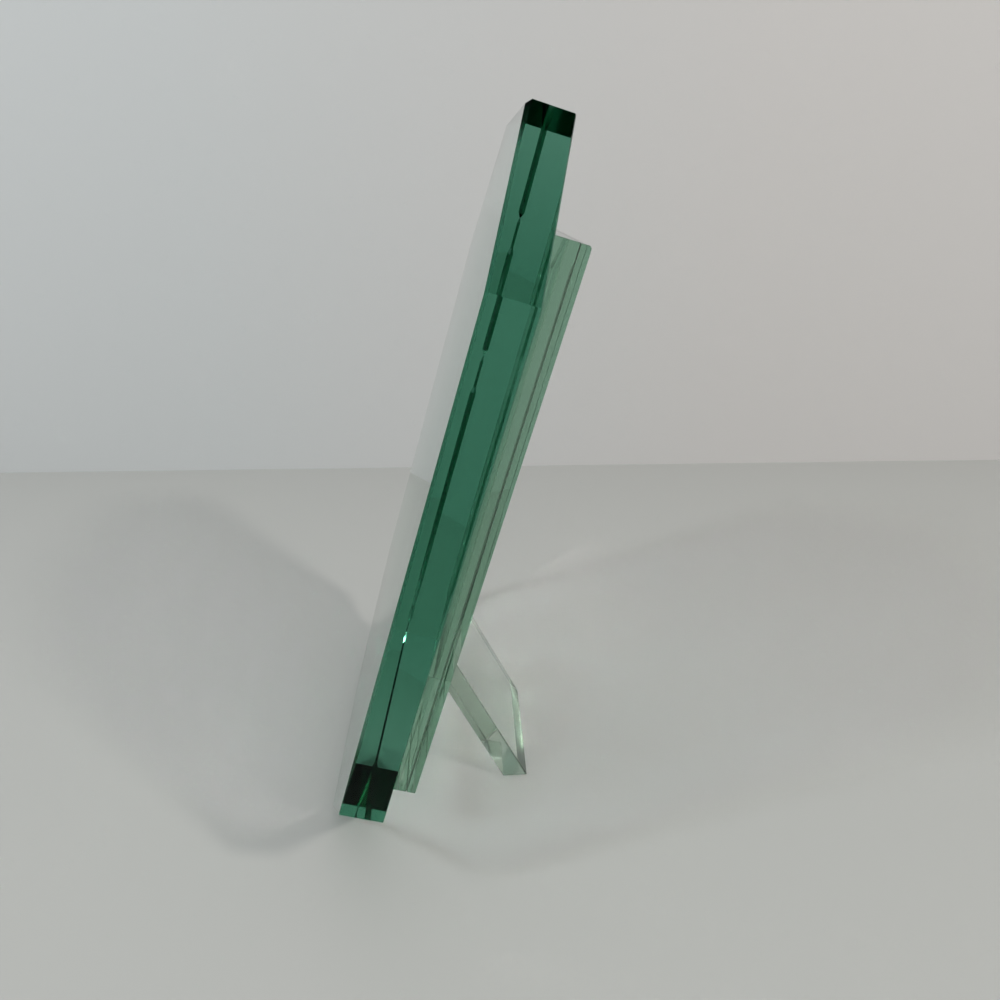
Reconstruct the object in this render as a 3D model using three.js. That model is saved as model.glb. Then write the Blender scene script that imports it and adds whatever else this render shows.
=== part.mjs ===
// A free-standing picture frame made only of polished float glass and clear adhesive.
// A thick front slab with cut corners leans back and stands on its lower rear edge. Two glass
// plates are bonded behind it and hold a print between them, and a fixed glass leg props them up.
// Millimetres. +Z is up, the picture faces -Y, and the origin is on the table under the middle.

import * as THREE from 'three';

const degree = Math.PI / 180;

// Stance
const leanBack = 17.8; // the slab's lean from upright, in degrees
const legSpread = 43; // the leg's angle to the back plate, in degrees

// Front slab
const slabWidth = 165;
const slabHeight = 231;
const slabThickness = 12.7;
const slabCutWidth = 43; // what each corner cut takes off the width
const slabCutHeight = 41.5; // and off the height
const slabArris = 1.1; // how far the 45 degree flat on each edge reaches into either face

// Plates behind the slab
const plateInset = 27.5; // from the slab's edge to the plates' edge, all round
const innerPlateThickness = 7.7;
const outerPlateThickness = 2.8;
const innerPlateArris = 0.2;
const outerPlateArris = 0.2;

// Leg
const legWidth = 51;
const legThickness = 8;
const legSeatHeight = 37; // from the plates' lower edge to the top of the leg's joint
const legArris = 0.3;

// Clear adhesive between slab and inner plate
const slabSeam = 0.3; // gap that the adhesive bridges
const slabBondHeight = 15; // of the broad strip below the print
const slabBondInset = 1; // from the plate's edge to the strip
const slabDotDiameter = 4; // of the dot near each upper corner
const slabDotInset = 3; // from the plate's edges to the dot's centre

// Print pocket between the two plates, closed at both sides and below, open above
const pocketSeam = 0.3;
const pocketStripWidth = 3.2;
const pocketStripInset = 0.3; // from the plate's edge to the strip
const pocketMouthRelief = 5.6; // how far below the plates' top the side strips end
const pocketFloorHeight = 18; // from the plates' lower edge to where the print stands

// Clear adhesive between outer plate and leg
const legSeam = 0.3;
const legBondInset = 0.6; // from the joint's edge to the adhesive

// Fits
const filmClearance = 0.05; // between cured adhesive and each face that it joins
const stripEndGap = 0.3; // between the end of one adhesive strip and the side of the next

const glassColour = 0x9cc7b0;
const adhesiveColour = 0xdfe9e2;

const plateWidth = slabWidth - 2 * plateInset;
const plateHeight = slabHeight - 2 * plateInset;
const lean = leanBack * degree;
const spread = legSpread * degree;

// In the leaning group x runs across the frame, y up the slab and z out of the picture.
// The rear face of the slab is at z = 0, and the plates lie behind it at negative z.
const innerPlateFront = -slabSeam;
const innerPlateRear = innerPlateFront - innerPlateThickness;
const outerPlateFront = innerPlateRear - pocketSeam;
const outerPlateRear = outerPlateFront - outerPlateThickness;
const legSeatDepth = outerPlateRear - legSeam;
const plateBottom = plateInset;
const plateTop = plateBottom + plateHeight;

function outlineOf(points) {
  return new THREE.Shape(points.map(([x, y]) => new THREE.Vector2(x, y)));
}

function disc(centreX, centreY, diameter) {
  return new THREE.Shape().absarc(centreX, centreY, diameter / 2, 0, 2 * Math.PI);
}

function rectangle(left, bottom, width, height) {
  return outlineOf([
    [left, bottom],
    [left + width, bottom],
    [left + width, bottom + height],
    [left, bottom + height],
  ]);
}

// A sheet from z = 0 to its thickness, whose edges on both faces are ground to a flat arris.
function polishedSheet(outline, thickness, arris) {
  const geometry = new THREE.ExtrudeGeometry(outline, {
    depth: thickness - 2 * arris,
    bevelThickness: arris,
    bevelSize: arris,
    bevelOffset: -arris,
    bevelSegments: 1,
  });
  return geometry.translate(0, 0, arris);
}

function plainSheet(outline, thickness) {
  return new THREE.ExtrudeGeometry(outline, { depth: thickness, bevelEnabled: false });
}

function glassPiece(name, geometry) {
  const glass = new THREE.MeshStandardMaterial({
    color: glassColour,
    roughness: 0.04,
    metalness: 0,
    transparent: true,
    opacity: 0.5,
  });
  const piece = new THREE.Mesh(geometry, glass);
  piece.name = name;
  return piece;
}

function adhesivePiece(name, geometry) {
  const adhesive = new THREE.MeshStandardMaterial({
    color: adhesiveColour,
    roughness: 0.2,
    metalness: 0,
    transparent: true,
    opacity: 0.4,
  });
  const piece = new THREE.Mesh(geometry, adhesive);
  piece.name = name;
  return piece;
}

// The slab: an upright rectangle with its four corners cut off.
function frontSlab() {
  const side = slabWidth / 2;
  const halfTop = side - slabCutWidth; // half the width left between the cuts
  const upperCut = slabHeight - slabCutHeight;
  const outline = outlineOf([
    [-halfTop, 0],
    [halfTop, 0],
    [side, slabCutHeight],
    [side, upperCut],
    [halfTop, slabHeight],
    [-halfTop, slabHeight],
    [-side, upperCut],
    [-side, slabCutHeight],
  ]);
  return glassPiece('front_slab', polishedSheet(outline, slabThickness, slabArris));
}

function plate(name, rearFace, thickness, arris) {
  const outline = rectangle(-plateWidth / 2, plateBottom, plateWidth, plateHeight);
  const piece = glassPiece(name, polishedSheet(outline, thickness, arris));
  piece.position.z = rearFace;
  return piece;
}

// One thin strip of adhesive that fills a seam, apart from a clearance at each face.
function film(name, outline, seamRear, seam) {
  const piece = adhesivePiece(name, plainSheet(outline, seam - 2 * filmClearance));
  piece.position.z = seamRear + filmClearance;
  return piece;
}

// Adhesive between slab and inner plate: a broad strip along the bottom, below the print,
// and a dot near each upper corner that steadies the plate.
function slabBonds() {
  const stripWidth = plateWidth - 2 * slabBondInset;
  const stripBottom = plateBottom + slabBondInset;
  const dotX = plateWidth / 2 - slabDotInset;
  const dotY = plateTop - slabDotInset;
  const bonds = {
    slab_bond_bottom: rectangle(-stripWidth / 2, stripBottom, stripWidth, slabBondHeight),
    slab_bond_top_left: disc(-dotX, dotY, slabDotDiameter),
    slab_bond_top_right: disc(dotX, dotY, slabDotDiameter),
  };
  return Object.entries(bonds).map(([name, outline]) => {
    return film(name, outline, innerPlateFront, slabSeam);
  });
}

// Strips that make the pocket: they space the plates apart and hold the print at its sides and foot.
function pocketStrips() {
  const left = -plateWidth / 2 + pocketStripInset;
  const bottom = plateBottom + pocketStripInset;
  const length = plateHeight - pocketStripInset - pocketMouthRelief;
  const between = plateWidth - 2 * (pocketStripInset + pocketStripWidth + stripEndGap);
  const floorHeight = pocketFloorHeight - pocketStripInset;
  const strips = {
    pocket_strip_left: rectangle(left, bottom, pocketStripWidth, length),
    pocket_strip_right: rectangle(-left - pocketStripWidth, bottom, pocketStripWidth, length),
    pocket_strip_bottom: rectangle(-between / 2, bottom, between, floorHeight),
  };
  return Object.entries(strips).map(([name, outline]) => {
    return film(name, outline, outerPlateFront, pocketSeam);
  });
}

// The joint's length up the plate: the leg's thickness, cut slantwise by the mitre.
const mitreLength = legThickness / Math.sin(spread);
const mitreTop = plateBottom + legSeatHeight;

function legBond() {
  const width = legWidth - 2 * legBondInset;
  const height = mitreLength - 2 * legBondInset;
  const outline = rectangle(-width / 2, mitreTop - mitreLength + legBondInset, width, height);
  return film('leg_bond', outline, legSeatDepth, legSeam);
}

function leaningBody() {
  const body = new THREE.Group();
  body.add(
    frontSlab(),
    plate('inner_plate', innerPlateRear, innerPlateThickness, innerPlateArris),
    plate('outer_plate', outerPlateRear, outerPlateThickness, outerPlateArris),
    ...slabBonds(),
    ...pocketStrips(),
    legBond(),
  );
  body.rotation.x = Math.PI / 2 - lean;
  const extent = new THREE.Box3().setFromObject(body, true);
  body.position.z = -extent.min.z; // stands on the slab's lower rear edge
  body.updateMatrixWorld(true);
  return body;
}

// The leg's side view: mitred flat against the outer plate above, cut flat on the table below.
function easelLeg(body) {
  const seatTop = body.localToWorld(new THREE.Vector3(0, mitreTop, legSeatDepth));
  const seatFoot = body.localToWorld(new THREE.Vector3(0, mitreTop - mitreLength, legSeatDepth));
  const slope = Math.tan(spread - lean); // how far back the leg runs for each unit of drop
  const outline = outlineOf([
    [seatFoot.y, seatFoot.z],
    [seatFoot.y + seatFoot.z * slope, 0],
    [seatTop.y + seatTop.z * slope, 0],
    [seatTop.y, seatTop.z],
  ]);
  const leg = glassPiece('easel_leg', polishedSheet(outline, legWidth, legArris));
  leg.rotation.set(Math.PI / 2, Math.PI / 2, 0); // the outline's x runs back and its y up
  leg.position.x = -legWidth / 2;
  return leg;
}

function pictureFrame() {
  const frame = new THREE.Group();
  const body = leaningBody();
  frame.add(body, easelLeg(body));
  const extent = new THREE.Box3().setFromObject(frame, true);
  frame.position.y = -(extent.min.y + extent.max.y) / 2;
  return frame;
}

export default pictureFrame();
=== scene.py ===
# %% [markdown]
# # A picture frame made of glass
#
# The object is four pieces of green float glass and seven thin films of clear adhesive. A thick slab
# with cut corners leans back; two plates are bonded behind it and hold a print between them; a glass
# leg, glued at a mitre, props them up. Everything is see-through, so the look comes from how light
# runs inside each piece. That calls for closed meshes at their true size, a true index of
# refraction, and absorption in the body of the glass and not a tint on its skin.

# %% Load the fixed frame
import math
import bmesh
import bpy
from mathutils import Matrix, Vector, geometry, noise


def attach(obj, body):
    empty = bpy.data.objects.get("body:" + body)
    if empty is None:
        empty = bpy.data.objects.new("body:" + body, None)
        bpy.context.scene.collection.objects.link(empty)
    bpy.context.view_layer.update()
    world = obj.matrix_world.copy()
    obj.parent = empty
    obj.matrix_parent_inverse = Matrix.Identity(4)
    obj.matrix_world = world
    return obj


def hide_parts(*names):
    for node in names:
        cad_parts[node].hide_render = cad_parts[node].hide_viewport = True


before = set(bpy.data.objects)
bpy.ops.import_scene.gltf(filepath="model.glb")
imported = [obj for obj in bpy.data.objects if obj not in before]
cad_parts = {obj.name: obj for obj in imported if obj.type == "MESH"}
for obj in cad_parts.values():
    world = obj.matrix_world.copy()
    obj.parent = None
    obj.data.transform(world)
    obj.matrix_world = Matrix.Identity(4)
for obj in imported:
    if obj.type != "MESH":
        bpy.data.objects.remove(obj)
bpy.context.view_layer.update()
MM = 0.001
print("pieces in the frame:", ", ".join(sorted(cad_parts)))

# %% [markdown]
# ## A ruler that leans with the slab
#
# All the plates lean back together. It could be worked out with sines at every step, but it is
# easier to read one set of leaning axes off the slab once: `ACROSS` the frame, `UP` the slab, and
# `OUT` of the picture. A point is then given by how far across, up and out it is.

# %% Leaning axes
ACROSS = Vector((1, 0, 0))


def picture_normal():
    widest = max(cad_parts["front_slab"].data.polygons, key=lambda face: face.area)
    normal = widest.normal.normalized()
    return -normal if normal.y > 0 else normal


OUT = picture_normal()
UP = OUT.cross(ACROSS)


def corners_of(node):
    return [vertex.co.copy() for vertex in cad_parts[node].data.vertices]


CORNER = (
    UP * min(point.dot(UP) for point in corners_of("front_slab"))
    + OUT * min(point.dot(OUT) for point in corners_of("front_slab"))
)


def leaning(point):
    """How far across, up and out a point lies, from the slab's lower rear edge."""
    offset = point - CORNER
    return Vector((offset.dot(ACROSS), offset.dot(UP), offset.dot(OUT)))


def reach(node):
    """Lowest and highest leaning corner of a node."""
    points = [leaning(point) for point in corners_of(node)]
    low = Vector([min(point[axis] for point in points) for axis in range(3)])
    high = Vector([max(point[axis] for point in points) for axis in range(3)])
    return low, high


lean_angle = math.degrees(math.atan2(OUT.z, -OUT.y))
print(f"the slab leans back {lean_angle:.1f} degrees")

# %% [markdown]
# ## Camera
#
# The photograph looks along the frame's edge from above and from a hand's breadth away, so the
# camera is placed first. Its place is measured from the slab's lower rear corner, in millimetres.

# %% Camera
CAMERA_OFFSET = Vector((242.5, 41.7, 205.5)) * MM
CAMERA_YAW = math.radians(2.23)
CAMERA_PITCH = math.radians(23.13)
CAMERA_ROLL = math.radians(-1.43)
SENSOR = 36.0
LENS = 26.94


def make_camera():
    data = bpy.data.cameras.new("camera")
    data.sensor_width = SENSOR
    data.lens = LENS
    camera = bpy.data.objects.new("camera", data)
    level = math.cos(CAMERA_PITCH)
    forward = Vector((
        -math.cos(CAMERA_YAW) * level,
        math.sin(CAMERA_YAW) * level,
        -math.sin(CAMERA_PITCH),
    ))
    right = forward.cross(Vector((0, 0, 1))).normalized()
    top = right.cross(forward)
    turned_right = math.cos(CAMERA_ROLL) * right + math.sin(CAMERA_ROLL) * top
    turned_top = -math.sin(CAMERA_ROLL) * right + math.cos(CAMERA_ROLL) * top
    turn = Matrix((turned_right, turned_top, -forward)).transposed()
    camera.matrix_world = Matrix.Translation(CORNER + CAMERA_OFFSET) @ turn.to_4x4()
    bpy.context.collection.objects.link(camera)
    bpy.context.scene.camera = camera
    return camera


camera = make_camera()
print("camera at", [round(value, 3) for value in camera.matrix_world.translation])

# %% [markdown]
# ## Table, wall and light
#
# A sheet of glass shows its surroundings more than itself, so the surroundings are built with care.
# A pale table and wall give the glass something to carry. The wall stands a little askew, as in the
# photograph, and its colour goes from cooler at its left to warmer at its right: painted light, the
# tint of cool light from the left and warm light from the right. The table ends in front of the
# picture, where the room is dark.

# %% Stage
TABLE_COLOUR = (0.44, 0.445, 0.43)
# Painted light: the wall's two colours are the tints of cool light at its left and warm light at its
# right.
WALL_LEFT_COLOUR = (0.523, 0.541, 0.545)
WALL_RIGHT_COLOUR = (0.554, 0.54, 0.533)
WALL_TINT_SPAN = (-0.175, 0.205)
WALL_DISTANCE = 307 * MM
WALL_TURN = math.radians(4.2)
WALL_FOOT, WALL_TOP = -0.8, 0.42
TABLE_FRONT = -0.45
STAGE_REACH = 3.0
TABLE_GAP = 0.05 * MM
MATTE_ROUGHNESS = 0.6
MATTE_SHEEN = 0.25


def plain_matte(name, colour):
    material = bpy.data.materials.new(name)
    material.use_nodes = True
    shader = material.node_tree.nodes["Principled BSDF"]
    shader.inputs["Base Color"].default_value = (*colour, 1)
    shader.inputs["Roughness"].default_value = MATTE_ROUGHNESS
    shader.inputs["Specular IOR Level"].default_value = MATTE_SHEEN
    return material


def wall_with_painted_light_tint():
    """Painted light: the wall's colour goes from its left colour to its right one, as cool light from the
    left and warm light from the right would tint it.
    """
    material = plain_matte("wall_matte", WALL_LEFT_COLOUR)
    tree = material.node_tree
    along = tree.nodes.new("ShaderNodeSeparateXYZ")
    tree.links.new(tree.nodes.new("ShaderNodeTexCoord").outputs["Object"], along.inputs["Vector"])
    place = tree.nodes.new("ShaderNodeMapRange")
    place.inputs["From Min"].default_value = WALL_TINT_SPAN[0]
    place.inputs["From Max"].default_value = WALL_TINT_SPAN[1]
    tree.links.new(along.outputs["Y"], place.inputs["Value"])
    colours = tree.nodes.new("ShaderNodeValToRGB")
    for stop, colour in zip(colours.color_ramp.elements, (WALL_LEFT_COLOUR, WALL_RIGHT_COLOUR)):
        stop.color = (*colour, 1)
    tree.links.new(place.outputs["Result"], colours.inputs["Fac"])
    shader = tree.nodes["Principled BSDF"]
    tree.links.new(colours.outputs["Color"], shader.inputs["Base Color"])
    return material


def stage_sheet(name, points, material):
    mesh = bpy.data.meshes.new(name)
    mesh.from_pydata(points, [], [(0, 1, 2, 3)])
    mesh.materials.append(material)
    sheet = bpy.data.objects.new(name, mesh)
    bpy.context.collection.objects.link(sheet)
    return sheet


def along_wall(y):
    return -WALL_DISTANCE + y * math.tan(WALL_TURN)


def make_stage():
    far = STAGE_REACH
    near_end, far_end = (along_wall(TABLE_FRONT), TABLE_FRONT), (along_wall(far), far)
    table = [
        (*near_end, -TABLE_GAP), (far, TABLE_FRONT, -TABLE_GAP),
        (far, far, -TABLE_GAP), (*far_end, -TABLE_GAP),
    ]
    stage_sheet("table", table, plain_matte("table_matte", TABLE_COLOUR))
    left, right = (along_wall(-far), -far), far_end
    wall = [(*left, WALL_FOOT), (*right, WALL_FOOT), (*right, WALL_TOP), (*left, WALL_TOP)]
    stage_sheet("wall", wall, wall_with_painted_light_tint())


make_stage()

# %% [markdown]
# ## Small helpers for node trees
#
# The materials and the room are wired from the same few nodes over and over. Each could be written
# out where it is used, but three short functions keep the wiring readable.

# %% Helpers for nodes
def ramp(tree, value, from_range, to_range):
    """A number turned from one range to another, and held within it."""
    node = tree.nodes.new("ShaderNodeMapRange")
    node.inputs["From Min"].default_value, node.inputs["From Max"].default_value = from_range
    node.inputs["To Min"].default_value, node.inputs["To Max"].default_value = to_range
    tree.links.new(value, node.inputs["Value"])
    return node.outputs["Result"]


def multiplied(tree, one, two):
    node = tree.nodes.new("ShaderNodeMath")
    node.operation = "MULTIPLY"
    for number, socket in zip((one, two), node.inputs):
        tree.links.new(number, socket)
    return node.outputs["Value"]


def added(tree, one, two):
    node = tree.nodes.new("ShaderNodeMath")
    for number, socket in zip((one, two), node.inputs):
        tree.links.new(number, socket)
    return node.outputs["Value"]


# %% [markdown]
# ## Room light
#
# Even light from all round would fill every inner reflection with grey and wash the glass out. The
# room is plain and pale wherever it is seen straight or through the glass, and lights the table
# softly. Only in reflections is it uneven, as a real room is: near black overhead and in front of
# the picture, which draws the dark lines inside the slab, and brightest high up behind one side, as
# by a ceiling light.

# %% Room light
ROOM_COLOUR = (1, 1, 0.99)
ROOM_PLAIN = 0.47
ROOM_FILL = 0.64
MIRRORED_ROOM = 0.5
MIRRORED_SIDES = [
    {"towards": (0, -1, 0), "falloff": (0.45, 0.8), "level": 0.001},
    {"towards": (0, 0, 1), "falloff": (0.4, 0.68), "level": 0.001},
    {"towards": (0.62, 0.61, 0.49), "falloff": (0.94, 0.985), "level": 5.0},
]


def mirrored_room(tree):
    """How bright the room is in each direction, as the glass mirrors it."""
    direction = tree.nodes.new("ShaderNodeTexCoord").outputs["Generated"]
    mirrored = None
    for side in MIRRORED_SIDES:
        towards = tree.nodes.new("ShaderNodeVectorMath")
        towards.operation = "DOT_PRODUCT"
        towards.inputs[1].default_value = side["towards"]
        tree.links.new(direction, towards.inputs[0])
        fade = tree.nodes.new("ShaderNodeMapRange")
        fade.interpolation_type = "SMOOTHSTEP"
        fade.inputs["From Min"].default_value = side["falloff"][0]
        fade.inputs["From Max"].default_value = side["falloff"][1]
        fade.inputs["To Min"].default_value = MIRRORED_ROOM
        fade.inputs["To Max"].default_value = side["level"]
        tree.links.new(towards.outputs["Value"], fade.inputs["Value"])
        if mirrored:
            tree.links.new(mirrored, fade.inputs["To Min"])
        mirrored = fade.outputs["Result"]
    return mirrored


def plain_or_mirrored(tree, mirrored):
    """The plain room, or the mirrored one once the light has been reflected."""
    reflections = tree.nodes.new("ShaderNodeLightPath").outputs["Glossy Depth"]
    shown = tree.nodes.new("ShaderNodeMapRange")
    shown.inputs["To Min"].default_value = ROOM_PLAIN
    tree.links.new(reflections, shown.inputs["Value"])
    tree.links.new(mirrored, shown.inputs["To Max"])
    return shown.outputs["Result"]


def in_plain_sight(tree):
    """One where the room is seen straight, through glass or in a mirror, and zero where it lights."""
    ray = tree.nodes.new("ShaderNodeLightPath").outputs
    through_glass = added(tree, ray["Is Transmission Ray"], ray["Is Glossy Ray"])
    in_sight = added(tree, ray["Is Camera Ray"], through_glass)
    not_scattered = ramp(tree, ray["Diffuse Depth"], (0, 1), (1, 0))
    return multiplied(tree, in_sight, not_scattered)


def make_room():
    """A world that is plain, apart from its dark and bright sides as the glass mirrors them."""
    world = bpy.data.worlds.new("room")
    world.use_nodes = True
    tree = world.node_tree
    shown = plain_or_mirrored(tree, mirrored_room(tree))
    strength = tree.nodes.new("ShaderNodeMapRange")
    strength.inputs["To Min"].default_value = ROOM_FILL
    tree.links.new(in_plain_sight(tree), strength.inputs["Value"])
    tree.links.new(shown, strength.inputs["To Max"])
    room = tree.nodes["Background"]
    room.inputs["Color"].default_value = (*ROOM_COLOUR, 1)
    tree.links.new(strength.outputs["Result"], room.inputs["Strength"])
    bpy.context.scene.world = world


make_room()
print("the room shows at", ROOM_PLAIN, "and lights at", ROOM_FILL)

# %% [markdown]
# ## Lamps
#
# Two small lamps stand where the photograph's shadows and its one bright glint say that they were.
# A large soft lamp would light the table as well, but light that has passed through glass draws thin
# bright and dark outlines on the table only when the lamp is small.

# %% Lamps
LAMPS = {
    "lamp_right": {"place": (0.7, 0.92, 0.95), "size": 0.14, "power": 7, "colour": (1, 0.96, 0.9)},
    "lamp_left": {"place": (0.42, -0.82, 0.94), "size": 0.2, "power": 5.7, "colour": (0.93, 0.97, 1)},
}


def make_lamp(name, place, size, power, colour):
    data = bpy.data.lights.new(name, "AREA")
    data.shape = "DISK"
    data.size = size
    data.energy = power
    data.color = colour
    lamp = bpy.data.objects.new(name, data)
    lamp.location = place
    lamp.rotation_euler = (-Vector(place)).to_track_quat("-Z", "Y").to_euler()
    bpy.context.collection.objects.link(lamp)


for lamp_name, facts in LAMPS.items():
    make_lamp(lamp_name, **facts)
    print(lamp_name, "at", facts["place"])
bpy.context.scene.view_settings.view_transform = "Standard"
bpy.context.scene.cycles.max_bounces = 32
bpy.context.scene.cycles.transmission_bounces = 32
bpy.context.scene.cycles.glossy_bounces = 16
bpy.context.scene.cycles.use_denoising = True
bpy.context.scene.cycles.blur_glossy = 0
bpy.context.scene.cycles.sample_clamp_indirect = 0

# %% [markdown]
# ## Float glass
#
# Float glass looks clear face on and deep green edge on, because iron in it absorbs a little of
# every millimetre that light travels. A tinted surface can't do that. The shader is clear glass, and
# an absorbing volume inside it does the colouring. Its reflections carry painted shade: a grey
# Specular Tint dims them nearly to nothing on the edges and to 0.6 on the broad faces.

# %% Glass
GLASS_INDEX = 1.52
ADHESIVE_INDEX = 1.49
# Painted shade: grey tints that dim the glass's reflections, the edges' nearly to nothing and the broad
# faces' to 0.6.
EDGE_REFLECTION_SHADE, FACE_REFLECTION_SHADE = (0.04, 0.04, 0.04, 1), (0.6, 0.6, 0.6, 1)
SLAB_ABSORPTION = {"density": 15.2, "passed": (0.0, 0.525, 0.35)}
PLATE_ABSORPTION = {"density": 11.2, "passed": (0.0, 0.446, 0.196)}
LEG_ABSORPTION = {"density": 12.8, "passed": (0.0, 0.3, 0.06)}


def mask_from(tree, name):
    """The number that the mesh keeps for each face under this name."""
    mask = tree.nodes.new("ShaderNodeAttribute")
    mask.attribute_name = name
    return mask.outputs["Fac"]


def blended(tree, share, first, second):
    """A colour between two, each a plain colour or another node's."""
    node = tree.nodes.new("ShaderNodeMix")
    node.data_type = "RGBA"
    sockets = [socket for socket in node.inputs if socket.type == "RGBA"]
    tree.links.new(share, node.inputs["Factor"])
    for socket, colour in zip(sockets, (first, second)):
        if isinstance(colour, tuple):
            socket.default_value = colour
        else:
            tree.links.new(colour, socket)
    return [socket for socket in node.outputs if socket.type == "RGBA"][0]


def grain(tree, stretch, detail):
    """Noise whose grain is so many per metre along each axis."""
    place = tree.nodes.new("ShaderNodeMapping")
    place.inputs["Scale"].default_value = stretch
    tree.links.new(tree.nodes.new("ShaderNodeTexCoord").outputs["Object"], place.inputs["Vector"])
    node = tree.nodes.new("ShaderNodeTexNoise")
    node.inputs["Scale"].default_value = 1
    node.inputs["Detail"].default_value = detail
    tree.links.new(place.outputs["Vector"], node.inputs["Vector"])
    return node.outputs["Fac"]


def clear_shader(name, index):
    material = bpy.data.materials.new(name)
    material.use_nodes = True
    shader = material.node_tree.nodes["Principled BSDF"]
    shader.inputs["Base Color"].default_value = (1, 1, 1, 1)
    shader.inputs["Roughness"].default_value = 0
    shader.inputs["Transmission Weight"].default_value = 1
    shader.inputs["IOR"].default_value = index
    return material, material.node_tree, shader


def pass_where_wetted(tree, shader, index):
    """Where a face is wetted, the index drops to one and light goes straight on."""
    wetted = mask_from(tree, "wetted")
    tree.links.new(ramp(tree, wetted, (0, 1), (index, 1.0)), shader.inputs["IOR"])


# %% [markdown]
# ## What hands and grinding leave on it
#
# Clean glass still isn't perfect. The broad faces carry faint smears from handling and a few specks
# of dust, the polished edges are never quite flat, and the ground arrises keep a fine satin. All of
# these are small: they show when light grazes a face, and vanish when it is seen square on. Smears,
# waves and satin are each a noise held to its own faces by a mask that the mesh carries; the specks
# of dust are scattered over every face.

# %% Wear on the glass
SMEAR_GRAIN = (34, 34, 21)
SMEAR_EDGES = (0.55, 0.72)
SMEAR_ROUGHNESS = 0.07
RUB_GRAIN = (900, 900, 260)
RUB_EDGES = (0.4, 0.7)
LIGHTEST_RUB = 0.25
SATIN_GRAIN = (2600, 2600, 2600)
SATIN_EDGES = (0.35, 0.75)
SATIN_ROUGHNESS = (0.1, 0.25)
RIPPLE_GRAIN = (160, 420, 160)
RIPPLE_HEIGHT = 0.0005 * MM
DUST_PER_METRE = 150
SPECK_RIM = (0.012, 0.022)
SPECK_CHOICE = (0.6, 0.62)
SPECK_STRENGTH = 0.7


def smears(tree):
    """Where hands have been: patches of fine rubbing on the broad faces."""
    patches = ramp(tree, grain(tree, SMEAR_GRAIN, 4), SMEAR_EDGES, (0, 1))
    rubbing = ramp(tree, grain(tree, RUB_GRAIN, 2), RUB_EDGES, (LIGHTEST_RUB, 1))
    broad = ramp(tree, mask_from(tree, "edge"), (0, 1), (SMEAR_ROUGHNESS, 0))
    return multiplied(tree, multiplied(tree, patches, rubbing), broad)


def satin(tree):
    """What the grinding belt leaves on the arrises."""
    ground = ramp(tree, grain(tree, SATIN_GRAIN, 1), SATIN_EDGES, SATIN_ROUGHNESS)
    return multiplied(tree, ground, mask_from(tree, "arris"))


def clear_of_dust(tree):
    """One, apart from a few specks of dust."""
    cells = tree.nodes.new("ShaderNodeTexVoronoi")
    cells.inputs["Scale"].default_value = DUST_PER_METRE
    tree.links.new(tree.nodes.new("ShaderNodeTexCoord").outputs["Object"], cells.inputs["Vector"])
    speck = ramp(tree, cells.outputs["Distance"], SPECK_RIM, (1, 0))
    chosen = ramp(tree, cells.outputs["Color"], SPECK_CHOICE, (0, SPECK_STRENGTH))
    return ramp(tree, multiplied(tree, speck, chosen), (0, 1), (1, 0))


def ripple(tree):
    """Slight waves that the polishing wheel leaves along each edge."""
    bump = tree.nodes.new("ShaderNodeBump")
    bump.inputs["Distance"].default_value = RIPPLE_HEIGHT
    waves = multiplied(tree, grain(tree, RIPPLE_GRAIN, 2), mask_from(tree, "edge"))
    tree.links.new(waves, bump.inputs["Height"])
    return bump.outputs["Normal"]


def glass_material(name, bonded, density, passed):
    material, tree, shader = clear_shader(name, GLASS_INDEX)
    if bonded:
        pass_where_wetted(tree, shader, GLASS_INDEX)
    # Painted shade in the reflections, much darker on the edges than on the broad faces.
    sheen = blended(tree, mask_from(tree, "edge"), FACE_REFLECTION_SHADE, EDGE_REFLECTION_SHADE)
    tree.links.new(sheen, shader.inputs["Specular Tint"])
    tree.links.new(added(tree, smears(tree), satin(tree)), shader.inputs["Roughness"])
    tree.links.new(clear_of_dust(tree), shader.inputs["Transmission Weight"])
    tree.links.new(ripple(tree), shader.inputs["Normal"])
    body = tree.nodes.new("ShaderNodeVolumeAbsorption")
    body.inputs["Color"].default_value = (*passed, 1)
    body.inputs["Density"].default_value = density
    tree.links.new(body.outputs["Volume"], tree.nodes["Material Output"].inputs["Volume"])
    return material


SLAB_GLASS = glass_material("slab_glass", False, **SLAB_ABSORPTION)
PLATE_GLASS = glass_material("plate_glass", True, **PLATE_ABSORPTION)
LEG_GLASS = glass_material("leg_glass", True, **LEG_ABSORPTION)
green_stopped = 1 - SLAB_ABSORPTION["passed"][1]
print(f"the slab stops green at {green_stopped:.3f} of the rate that it stops red")

# %% [markdown]
# ## Clear adhesive
#
# Cured adhesive is a little cloudy and never laid down evenly, so the strips show as a faint darker
# band through the plates. A noise varies how much of the light passes. Its rim is coloured near
# black, and reads as a thin dark line between the plates.

# %% Adhesive
CLOUD_GRAIN = (700, 700, 240)
CLOUD_EDGES = (0.35, 0.7)
THINNEST, THICKEST = (0.97, 0.98, 0.96, 1), (0.95, 0.96, 0.94, 1)
# The films' rims are coloured near black, which draws the thin dark line between the plates.
DARK_RIM_COLOUR = (0.05, 0.09, 0.06, 1)
RIM_ROUGHNESS = 0.5


def adhesive_material():
    material, tree, shader = clear_shader("clear_adhesive", ADHESIVE_INDEX)
    pass_where_wetted(tree, shader, ADHESIVE_INDEX)
    cloud = ramp(tree, grain(tree, CLOUD_GRAIN, 3), CLOUD_EDGES, (0, 1))
    clear = blended(tree, cloud, THINNEST, THICKEST)
    rim = mask_from(tree, "edge")
    tree.links.new(blended(tree, rim, clear, DARK_RIM_COLOUR), shader.inputs["Base Color"])
    tree.links.new(ramp(tree, rim, (0, 1), (0, RIM_ROUGHNESS)), shader.inputs["Roughness"])
    return material


ADHESIVE = adhesive_material()

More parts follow.
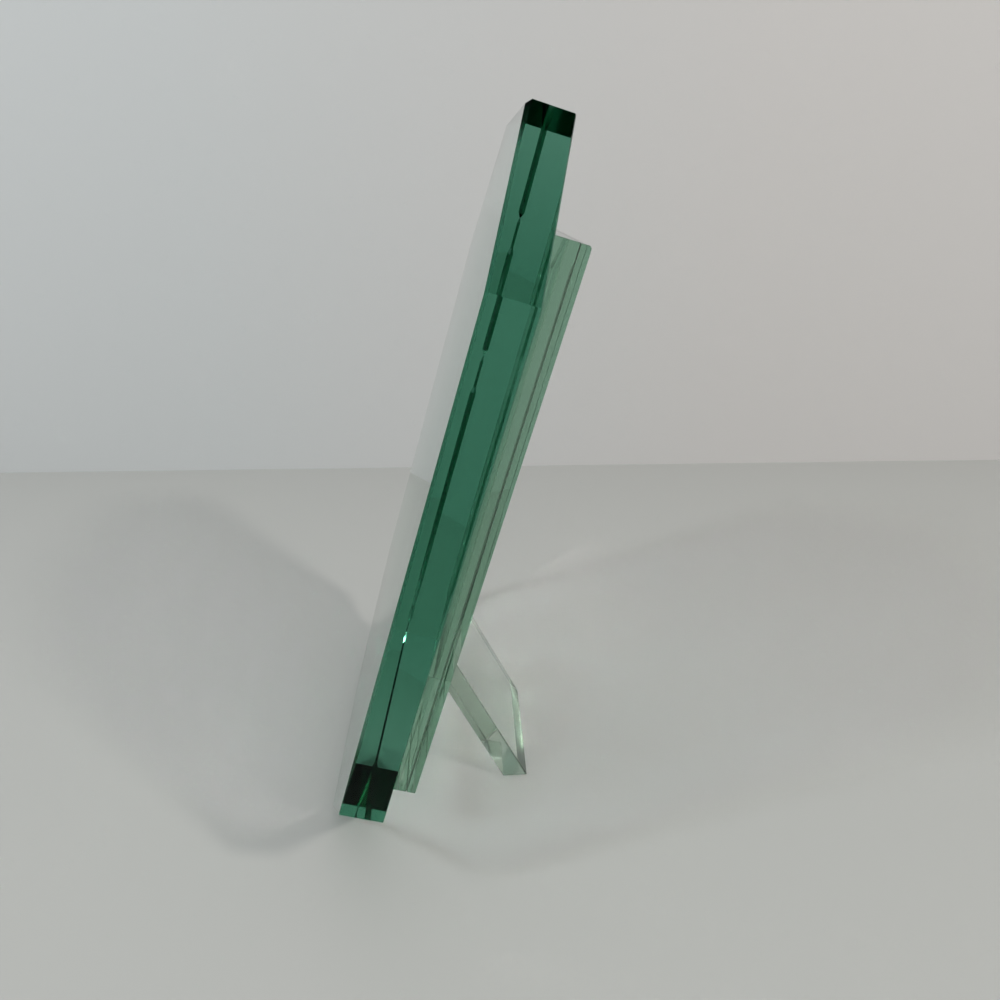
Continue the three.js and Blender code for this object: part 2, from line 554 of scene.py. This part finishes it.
# %% [markdown]
# ## Sheets with ground arrises
#
# A glazier cuts a sheet, polishes its edges flat, and takes the sharp corner off each face with a
# belt held at 45 degrees. That leaves a flat arris, and it matters: seen from inside the glass it is
# a mirror, and it draws the dark line down the slab. A bevel modifier gives every edge the same
# width, but a hand-held belt doesn't, so the sheet is built from rings of points whose inset varies
# from place to place. It is built lying flat, then turned to its place by a matrix.

# %% Outlines
CORNER_STEPS = 4
TINY = 1e-7
SAME_PLACE = 0.02 * MM
POINT_SPACING = 2.0 * MM
LEAST_TURN = 0.02


def neighbours(corners):
    """Each corner with the one before it and the one after it."""
    return zip(corners[-1:] + corners[:-1], corners, corners[1:] + corners[:1])


def hull_of(points):
    """Corners of the outline round flat points, anticlockwise."""
    apart = []
    for point in points:
        if all((point - other).length > SAME_PLACE for other in apart):
            apart.append(point)
    corners = [apart[index] for index in geometry.convex_hull_2d(apart)]
    if sum(before.cross(corner) for before, corner, _ in neighbours(corners)) < 0:
        corners.reverse()
    return [
        corner for before, corner, after in neighbours(corners)
        if (corner - before).normalized().cross((after - corner).normalized()) > LEAST_TURN
    ]


def drawn_in(corners, inset):
    """The corners of an outline whose sides have all moved inwards."""
    moved = []
    for before, corner, after in neighbours(corners):
        one, two = (corner - before).normalized(), (after - corner).normalized()
        inward = Vector((-one.y - two.y, one.x + two.x))
        moved.append(corner + inward * inset / (1 + one.dot(two)))
    return moved


def rounded(corners, inset, radius):
    """An outline drawn in by inset, whose corners were rounded to the radius beforehand."""
    arcs = []
    centres = drawn_in(corners, max(inset, radius))
    for centre, (before, corner, after) in zip(centres, neighbours(corners)):
        one, two = (corner - before).normalized(), (after - corner).normalized()
        start = math.atan2(-one.x, one.y)
        turn = math.acos(one.dot(two))
        angles = [start + turn * step / CORNER_STEPS for step in range(CORNER_STEPS + 1)]
        reach_out = max(radius - inset, 0)
        arcs.append([centre + Vector((math.cos(angle), math.sin(angle))) * reach_out for angle in angles])
    return arcs


def ring_points(corners, inset, radius):
    """Points round an outline, with as many on each side whatever the inset."""
    arcs = rounded(corners, inset, radius)
    points = []
    for index, (_, corner, after) in enumerate(neighbours(corners)):
        start, end = arcs[index][-1], arcs[(index + 1) % len(arcs)][0]
        count = max(1, round((after - corner).length / POINT_SPACING))
        points.extend(arcs[index])
        points.extend(start.lerp(end, step / count) for step in range(1, count))
    return points


# %% [markdown]
# ## Rings, bands and faces
#
# A sheet is closed like a box: rings of points run round its edges, bands of faces join ring to
# ring, and the two broad faces fill the last rings. Bands and faces keep numbers that say where the
# glass is wetted, polished or ground, and the materials read them. The broad faces are cut into
# triangles round each patch of adhesive, so that its outline is exact.

# %% Rings, bands and faces
def ring_of(bm, outline, heights):
    ring = []
    for point, height in zip(outline, heights):
        same = ring and (ring[-1].co - point.to_3d() - Vector((0, 0, height))).length < TINY
        ring.append(ring[-1] if same else bm.verts.new((*point, height)))
    return ring


def band(bm, lower, upper, **marks):
    """Joins two rings, and marks each face with the numbers given for its layers."""
    made = []
    for step, (low, high) in enumerate(zip(lower, upper)):
        ahead = (step + 1) % len(lower)
        corners = list(dict.fromkeys((low, lower[ahead], upper[ahead], high)))
        if len(corners) > 2:
            face = bm.faces.new(corners)
            for layer, number in marks.items():
                face[bm.faces.layers.float[layer]] = number
            made.append(face)
    return made


FILL_INSIDE = 1


def fill(bm, ring, patches, bubbles, facing_up, dry=0.0):
    """Fills a ring. Adhesive patches are wetted, bubbles in them aren't, and the rest is dry."""
    rim = list(dict.fromkeys(ring))
    height = rim[0].co.z
    points = [vertex.co.xy for vertex in rim]
    loops = [list(range(len(rim)))]
    for loop in patches + bubbles:
        loops.append(list(range(len(points), len(points) + len(loop))))
        points.extend(loop)
    flat, _, triangles, sources, _, covers = geometry.delaunay_2d_cdt(
        points, [], loops, FILL_INSIDE, TINY * MM
    )
    vertices = [
        rim[source[0]] if source and source[0] < len(rim) else bm.verts.new((*point, height))
        for point, source in zip(flat, sources)
    ]
    for triangle, cover in zip(triangles, covers):
        corners = [vertices[index] for index in triangle]
        face = bm.faces.new(corners if facing_up else corners[::-1])
        highest = max(cover)
        within = 0.0 if highest > len(patches) else 1.0 if highest > 0 else dry
        face[bm.faces.layers.float["wetted"]] = within


# %% [markdown]
# ## One maker for all the sheets
#
# Slab, plates and leg differ only in outline, thickness, arrises and what touches them, so one
# function makes all four. It could start from a cube and cut it, but building the rings directly
# keeps every arris at its own width and every face flat.

# %% Sheet maker
LEANING = Matrix((ACROSS, UP, OUT)).transposed().to_4x4()
LEANING.translation = CORNER
WIDEST_ARRIS = 1.6 * MM
LAYERS = ("wetted", "edge", "arris")
SAME_WAY = 0.99


def new_mesh():
    bm = bmesh.new()
    for layer in LAYERS:
        bm.faces.layers.float.new(layer)
    return bm


def glass_sheet(name, corners, span, arrises, corner_radius, contacts, turn, material, side_marks=()):
    """One sheet. arrises and contacts are given for its lower face, then for its upper one."""
    bm = new_mesh()
    outer = ring_points(corners, 0, corner_radius)
    inner = ring_points(corners, WIDEST_ARRIS, corner_radius)
    rings = []
    for height, inwards, arris_at in zip(span, (1, -1), arrises):
        widths = [arris_at(point) for point in outer]
        face_rim = [out.lerp(far, width / WIDEST_ARRIS) for out, far, width in zip(outer, inner, widths)]
        rings.append(ring_of(bm, face_rim, [height] * len(outer)))
        rings.append(ring_of(bm, outer, [height + inwards * width for width in widths]))
    low_face, low_wall, high_face, high_wall = rings
    band(bm, low_face, low_wall, edge=1.0, arris=1.0)
    wall = band(bm, low_wall, high_wall, edge=1.0)
    band(bm, high_wall, high_face, edge=1.0, arris=1.0)
    bm.normal_update()
    for layer, way, number in side_marks:
        for face in wall:
            if face.normal.xy.dot(way) > SAME_WAY:
                face[bm.faces.layers.float[layer]] = number
    fill(bm, low_face, *contacts[0], False)
    fill(bm, high_face, *contacts[1], True)
    return finished(bm, name, turn, material)


def finished(bm, name, turn, material):
    mesh = bpy.data.meshes.new(name)
    bm.to_mesh(mesh)
    bm.free()
    mesh.transform(turn)
    mesh.materials.append(material)
    piece = bpy.data.objects.new(name, mesh)
    bpy.context.collection.objects.link(piece)
    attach(piece, "root")
    return piece


# %% [markdown]
# ## Films of adhesive
#
# Clear adhesive has nearly the index of glass, so light crosses a bonded joint as if nothing were
# there, while beside it the thin layer of air throws the light back. Each film is a thin solid
# that fills its seam. Its two wetted faces, and the same patches on the glass, get an index of one,
# so that a ray goes straight on; its rim keeps the adhesive's own index. The rim wavers a little, as
# squeezed adhesive does, and a few bubbles stay behind in it.

# %% Outlines of the films
WAVER = 0.05 * MM
WAVER_LENGTH = 6 * MM
NOISE_GAIN = 1.6
BEAD_WIDTH, BEAD_END = 0.5 * MM, 0.3 * MM
BUBBLE_SPREAD = 9 * MM
BUBBLE_SIZES = (0.12 * MM, 0.45 * MM)
BUBBLE_CORNERS = 12
BUBBLE_TOSSES = (1.3, 2.1, 3.7)
BUBBLE_SHIFT = (0.25, 0.3)
LEAST_TOSS = -0.1


def unsteady(place, length):
    """A smooth number from -1 to 1 that changes over the length."""
    return max(-1.0, min(1.0, NOISE_GAIN * noise.noise(place.to_3d() / length)))


def outline_on_plate(node):
    """The outline of a node, across and up, in the leaning axes."""
    return hull_of([leaning(point).xy for point in corners_of(node)])


def wavering(node):
    """A film's outline, drawn in here and there."""
    corners = outline_on_plate(node)
    outer, inner = ring_points(corners, 0, 0), ring_points(corners, WAVER, 0)
    shares = [0.5 + 0.5 * unsteady(point, WAVER_LENGTH) for point in outer]
    points = [out.lerp(far, share) for out, far, share in zip(outer, inner, shares)]
    return [point for before, point, _ in neighbours(points) if (point - before).length > SAME_PLACE]


def with_bead(node, points):
    """A side strip's outline with a thin bead that runs on up the plates' edge."""
    low, high = [corner.xy for corner in reach(node)]
    top = reach("outer_plate")[1].y - BEAD_END
    outer = low.x if abs(low.x) > abs(high.x) else high.x
    inner = outer - math.copysign(BEAD_WIDTH, outer)
    bead = [Vector((inner, high.y)), Vector((inner, top)), Vector((outer, top))]
    if outer > 0:
        bead.reverse()
    start = min(range(len(points)), key=lambda index: (points[index] - Vector((outer, high.y))).length)
    kept = points[start + 1:] + points[:start]
    return kept + bead


def bubbles_in(node):
    """Small rings inside a film, at places that the noise picks."""
    low, high = [corner.xy for corner in reach(node)]
    size = high - low
    counts = [max(1, int(length / BUBBLE_SPREAD)) for length in size]
    rings = []
    for column in range(counts[0]):
        for row in range(counts[1]):
            cell = Vector((column + 0.5, row + 0.5))
            toss = [unsteady(cell * factor, 0.37) for factor in BUBBLE_TOSSES]
            centre = low + Vector((
                size.x * (cell.x + BUBBLE_SHIFT[0] * toss[0]) / counts[0],
                size.y * (cell.y + BUBBLE_SHIFT[1] * toss[1]) / counts[1],
            ))
            radius = BUBBLE_SIZES[0] + (BUBBLE_SIZES[1] - BUBBLE_SIZES[0]) * toss[2] ** 2
            room = min(centre.x - low.x, high.x - centre.x, centre.y - low.y, high.y - centre.y)
            if toss[0] > LEAST_TOSS and room > radius + 2 * WAVER:
                turns = [math.tau * corner / BUBBLE_CORNERS for corner in range(BUBBLE_CORNERS)]
                rings.append([centre + Vector((math.cos(a), math.sin(a))) * radius for a in turns])
    return rings


POCKET_FILMS = ["pocket_strip_left", "pocket_strip_right", "pocket_strip_bottom"]
WET_FILMS = POCKET_FILMS + ["leg_bond"]
DRY_PADS = ["slab_bond_bottom", "slab_bond_top_left", "slab_bond_top_right"]
OUTLINES = {node: wavering(node) for node in WET_FILMS + DRY_PADS}
for node in POCKET_FILMS[:2]:
    OUTLINES[node] = with_bead(node, OUTLINES[node])
BUBBLES = {node: bubbles_in(node) for node in WET_FILMS}
print("bubbles in each film:", {node: len(rings) for node, rings in BUBBLES.items()})


def contact(nodes):
    """Patches and bubbles that these films print on a face."""
    return [OUTLINES[node] for node in nodes], [ring for node in nodes for ring in BUBBLES[node]]


# %% [markdown]
# ## Solid films
#
# Each film fills its seam but for a skin of two thousandths of a millimetre, so that no two faces
# share one place. Faces that do come out speckled, because a render can't tell which is in front.

# %% Films
SKIN = 0.002 * MM
# Share of the dark rim colour on the rims of the pads and the leg's bond.
SLIGHTLY_DARK_RIM = 0.25


def rim_mark(node, place):
    """A rim's layer and number: fully dark on the side strips, and unseen on the pocket's floor."""
    if node not in POCKET_FILMS:
        return "edge", SLIGHTLY_DARK_RIM
    if node in POCKET_FILMS[:2] or place.y - reach("outer_plate")[0].y < MM:
        return "edge", 1.0
    return "wetted", 1.0


def film_of(node, low, high):
    bm = new_mesh()
    wet = node in WET_FILMS
    lower = ring_of(bm, OUTLINES[node], [low] * len(OUTLINES[node]))
    upper = ring_of(bm, OUTLINES[node], [high] * len(OUTLINES[node]))
    for face in band(bm, lower, upper):
        layer, number = rim_mark(node, face.calc_center_median())
        face[bm.faces.layers.float[layer]] = number
    for ring, facing_up in ((lower, False), (upper, True)):
        fill(bm, ring, [], BUBBLES[node] if wet else [], facing_up, dry=float(wet))
    film = finished(bm, "film_" + node, LEANING, ADHESIVE)
    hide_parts(node)
    return film


def fill_seam(nodes, behind, before):
    """Films that reach from the sheet behind the seam to the sheet before it."""
    low = reach(behind)[1].z + SKIN
    high = reach(before)[0].z - SKIN
    for node in nodes:
        film_of(node, low, high)
    print(", ".join(nodes), f"fill a seam of {(high - low) / MM:.2f} mm")


# %% [markdown]
# The pads between slab and inner plate only touch the slab: the photograph shows the slab's rear
# face mirroring light right across them, which it couldn't do where adhesive wets it.

# %% Films in their seams
fill_seam(DRY_PADS, "inner_plate", "front_slab")
fill_seam(POCKET_FILMS, "outer_plate", "inner_plate")
leg_bond_low, leg_bond_high = reach("leg_bond")
seat = reach("outer_plate")[0].z
film_of("leg_bond", leg_bond_low.z - (seat - leg_bond_high.z) + SKIN, seat - SKIN)

# %% [markdown]
# ## The slab
#
# The slab is thick, and its arrises were ground by hand. Each belt pass left its own width, so the
# width is given here by height up the slab, front and rear. At the front it is broadest along the
# top and barely broken along the foot. Behind, it narrows for a few millimetres on one side, where
# the belt slipped, and ends in a nick. The foot's rear arris is the edge that the slab stands on.

# %% Arrises of the slab
FRONT_ARRIS = [(4, 0.15), (48, 0.25), (64, 0.85), (222, 0.85), (229, 1.4)]
FRONT_LEFT_GAIN = 1.4
FRONT_LEFT_SPAN = (60 * MM, 222 * MM)
REAR_ARRIS = [
    (1, 0.42), (41, 0.35), (42, 0.12), (45.5, 0.18), (46.5, 0.8), (51, 0.8),
    (53, 0.6), (62, 0.85), (80, 0.95), (155, 1.05), (156, 1.05),
]
REAR_FOOT_ARRIS = 1.1 * MM
REAR_RIGHT_SHARE = 0.3
FOOT_HEIGHT = 1 * MM
SLIP = (143 * MM, 155.5 * MM)
SLIP_ARRIS = 0.5 * MM
NICK_ARRIS = 0.12 * MM
BELT_WAVER = 0.05
BELT_LENGTH = 14 * MM


def by_hand(width, place):
    return width * (1 + BELT_WAVER * unsteady(place, BELT_LENGTH))


def width_by_height(table, place):
    """A width from a table of heights and widths in millimetres."""
    height = place.y / MM
    for (low, start), (high, end) in zip(table, table[1:]):
        if height < high:
            share = max(0.0, (height - low) / (high - low))
            return by_hand((start + (end - start) * share) * MM, place)
    return by_hand(table[-1][1] * MM, place)


def slab_front_arris(place):
    width = width_by_height(FRONT_ARRIS, place)
    on_left_side = place.x < 0 and FRONT_LEFT_SPAN[0] < place.y < FRONT_LEFT_SPAN[1]
    return width * FRONT_LEFT_GAIN if on_left_side else width


def slab_rear_arris(place):
    if place.y < FOOT_HEIGHT:
        return REAR_FOOT_ARRIS
    if place.x < 0 and abs(place.y - SLIP[1]) < POINT_SPACING / 2:
        return NICK_ARRIS
    if place.x < 0 and SLIP[0] < place.y < SLIP[1]:
        return by_hand(SLIP_ARRIS, place)
    width = width_by_height(REAR_ARRIS, place)
    return width * REAR_RIGHT_SHARE if place.x > 0 else width


# %% [markdown]
# Nothing wets the slab, so its glass has no patches. Its corners are left nearly sharp, as polished
# edges are.

# %% Slab
SLAB_CORNER = 0.3 * MM
NO_CONTACT = ([], [])


def plate_of(node, name, arrises, corner_radius, contacts, material):
    """A leaning sheet that stands for its node."""
    low, high = reach(node)
    piece = glass_sheet(
        name, outline_on_plate(node), (low.z, high.z), arrises, corner_radius, contacts,
        LEANING, material,
    )
    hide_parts(node)
    size = (high - low) / MM
    print(f"{name}: {size.x:.1f} by {size.y:.1f} by {size.z:.1f} mm, {len(piece.data.polygons)} faces")
    return piece


plate_of(
    "front_slab", "slab", (slab_rear_arris, slab_front_arris), SLAB_CORNER,
    (NO_CONTACT, NO_CONTACT), SLAB_GLASS,
)

# %% [markdown]
# ## Back plates
#
# Both plates are seamed, which only breaks their sharp edges. Where they face each other across
# the print pocket the edges are nearly sharp. The outer one is softened along its upper edge, where
# a print is slipped in.

# %% Back plates
SEAMED = 0.2 * MM
INNER_SEAMED = 0.1 * MM
MOUTH_SOFTENED = 0.5 * MM
PLATE_CORNER = 0.2 * MM


def seamed(place):
    return by_hand(SEAMED, place)


def barely_seamed(place):
    return by_hand(INNER_SEAMED, place)


def softened_mouth(place):
    """Seamed, and softened along the upper edge."""
    top = reach("outer_plate")[1].y
    return by_hand(MOUTH_SOFTENED if place.y > top - MOUTH_SOFTENED else INNER_SEAMED, place)


plate_of(
    "inner_plate", "plate_inner", (barely_seamed, seamed), PLATE_CORNER,
    (contact(POCKET_FILMS), NO_CONTACT), PLATE_GLASS,
)
plate_of(
    "outer_plate", "plate_outer", (softened_mouth, barely_seamed), PLATE_CORNER,
    (contact(["leg_bond"]), contact(POCKET_FILMS)), PLATE_GLASS,
)

# %% [markdown]
# ## The leg
#
# The leg is a plain strip of glass. Its outline is its side view, and it is as thick as the strip is
# wide. The mitred end is glued, so that side of the outline is wetted. The foot was cut last and
# is only half polished, so it keeps some of the arrises' satin.

# %% Leg
LEG_ARRIS = 0.3 * MM
LEG_CORNER = 0.1 * MM
FOOT_GROUND = 1.0
SIDEWAYS = Matrix(((0, 0, 1, 0), (1, 0, 0, 0), (0, 1, 0, 0), (0, 0, 0, 1)))


def leg_arris(place):
    return LEG_ARRIS


def make_leg():
    points = corners_of("easel_leg")
    outline = hull_of([point.yz for point in points])
    span = (min(point.x for point in points), max(point.x for point in points))
    leg = glass_sheet(
        "leg", outline, span, (leg_arris, leg_arris), LEG_CORNER, (NO_CONTACT, NO_CONTACT),
        SIDEWAYS, LEG_GLASS, (("wetted", OUT.yz, 1.0), ("arris", Vector((0, -1)), FOOT_GROUND)),
    )
    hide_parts("easel_leg")
    print(f"leg: {(span[1] - span[0]) / MM:.1f} mm wide, {len(leg.data.polygons)} faces")
    return leg


make_leg()
